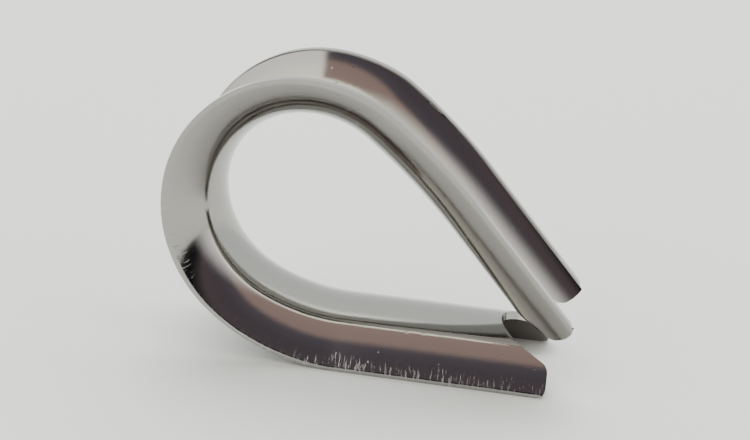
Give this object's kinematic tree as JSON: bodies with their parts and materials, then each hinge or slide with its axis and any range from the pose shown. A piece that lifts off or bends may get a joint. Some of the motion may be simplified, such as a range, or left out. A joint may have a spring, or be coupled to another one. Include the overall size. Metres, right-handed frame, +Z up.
{
  "type": "wire rope thimble",
  "caption": "Pointed wire rope thimble pressed from stainless strip, a round-bottomed channel bent into a drop-shaped eye with slanting cut leg ends.",
  "frame": {"origin": "middle of the box's underside: under the middle of the length, in the channel's middle plane, at the flange edges that the thimble stands on", "axes": "+X along the lower leg towards the point of the eye, +Y across the channel, +Z up"},
  "size_m": [0.0454, 0.0144, 0.032],
  "materials": {
    "stainless": "cold-pressed stainless sheet, tumbled to a soft mirror, with fine forming marks on the flanges"
  },
  "bodies": {
    "root": {"thimble": "stainless"}
  },
  "joints": []
}
